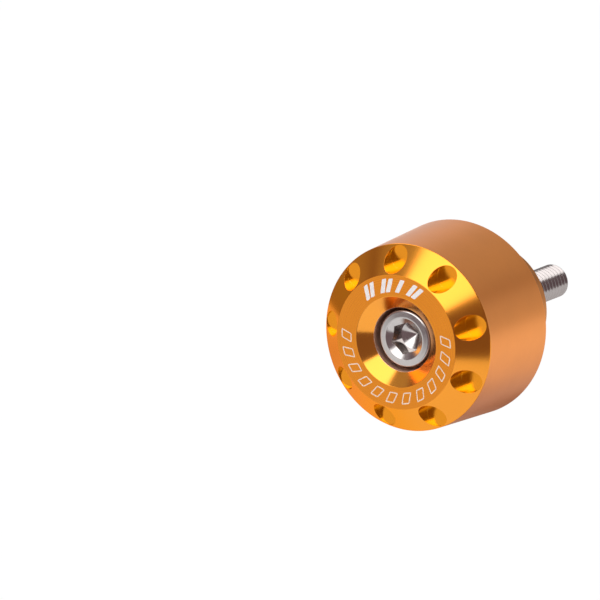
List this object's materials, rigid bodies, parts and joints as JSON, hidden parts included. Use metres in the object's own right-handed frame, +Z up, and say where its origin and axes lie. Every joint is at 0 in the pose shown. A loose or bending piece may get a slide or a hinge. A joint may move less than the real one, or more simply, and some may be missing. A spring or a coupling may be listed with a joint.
{
  "type": "bar end weight",
  "caption": "Turned handlebar end weight with a milled bevel, a stepped neck and a socket head screw through its middle.",
  "frame": {"origin": "centre of the neck's end face, which meets the end of the handlebar", "axes": "+Y along the turned axis towards the screw's tip, -Y out of the outer face, +Z up"},
  "size_m": [0.0342, 0.0536, 0.0342],
  "materials": {
    "gold_anodised": "satin anodised, polished on the bevel and countersink",
    "stainless": "bright"
  },
  "bodies": {
    "root": {"weight_body": "gold_anodised", "cap_screw": "stainless"}
  },
  "joints": []
}
